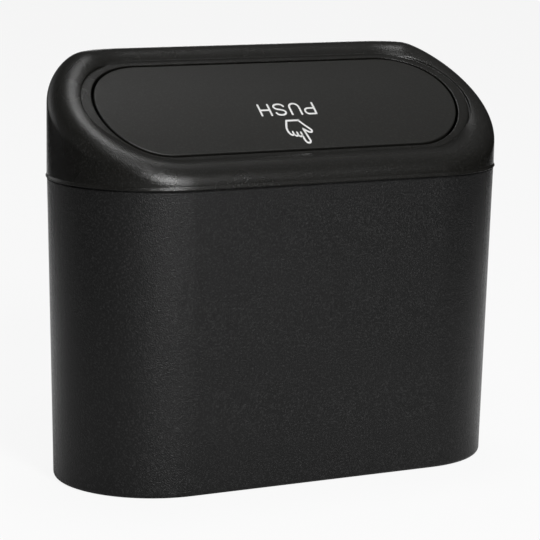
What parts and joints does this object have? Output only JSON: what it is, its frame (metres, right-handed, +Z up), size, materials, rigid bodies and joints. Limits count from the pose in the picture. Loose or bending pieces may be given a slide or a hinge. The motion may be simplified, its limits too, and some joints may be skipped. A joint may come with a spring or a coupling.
{
  "type": "car trash bin",
  "caption": "Small tapered car litter bin with a plug-in lid, a sloping rolled rim and a sprung flap that is pushed down to drop litter in.",
  "frame": {"origin": "middle of the underside of the foot ring, on the surface the bin stands on", "axes": "+Z up, +X along the bin's length, +Y towards the tall back of the lid where the hook is"},
  "size_m": [0.1512, 0.0742, 0.1317],
  "materials": {
    "body_plastic": "fine spark texture",
    "lid_plastic": "fine spark texture",
    "flap_plastic": "fine spark texture",
    "pin_steel": "drawn",
    "spring_wire": "drawn wire"
  },
  "bodies": {
    "bin": {"bin_body": "body_plastic"},
    "lid": {"lid_cover": "lid_plastic", "hinge_pin": "pin_steel", "left_spring": "spring_wire", "right_spring": "spring_wire"},
    "flap": {"press_flap": "flap_plastic"}
  },
  "joints": [
    {"name": "lid_lift", "type": "slide", "parent": "bin", "child": "lid", "axis": [0, 0, 1], "range_m": [0, 0.04]},
    {"name": "flap_hinge", "type": "hinge", "parent": "lid", "child": "flap", "pos_m": [0, 0.01364, 0.12046], "axis": [1, 0, 0], "range_deg": [0, 60], "stiffness_Nm_per_rad": 0.015, "springref_deg": -22.92, "deforming": ["left_spring", "right_spring"]}
  ]
}
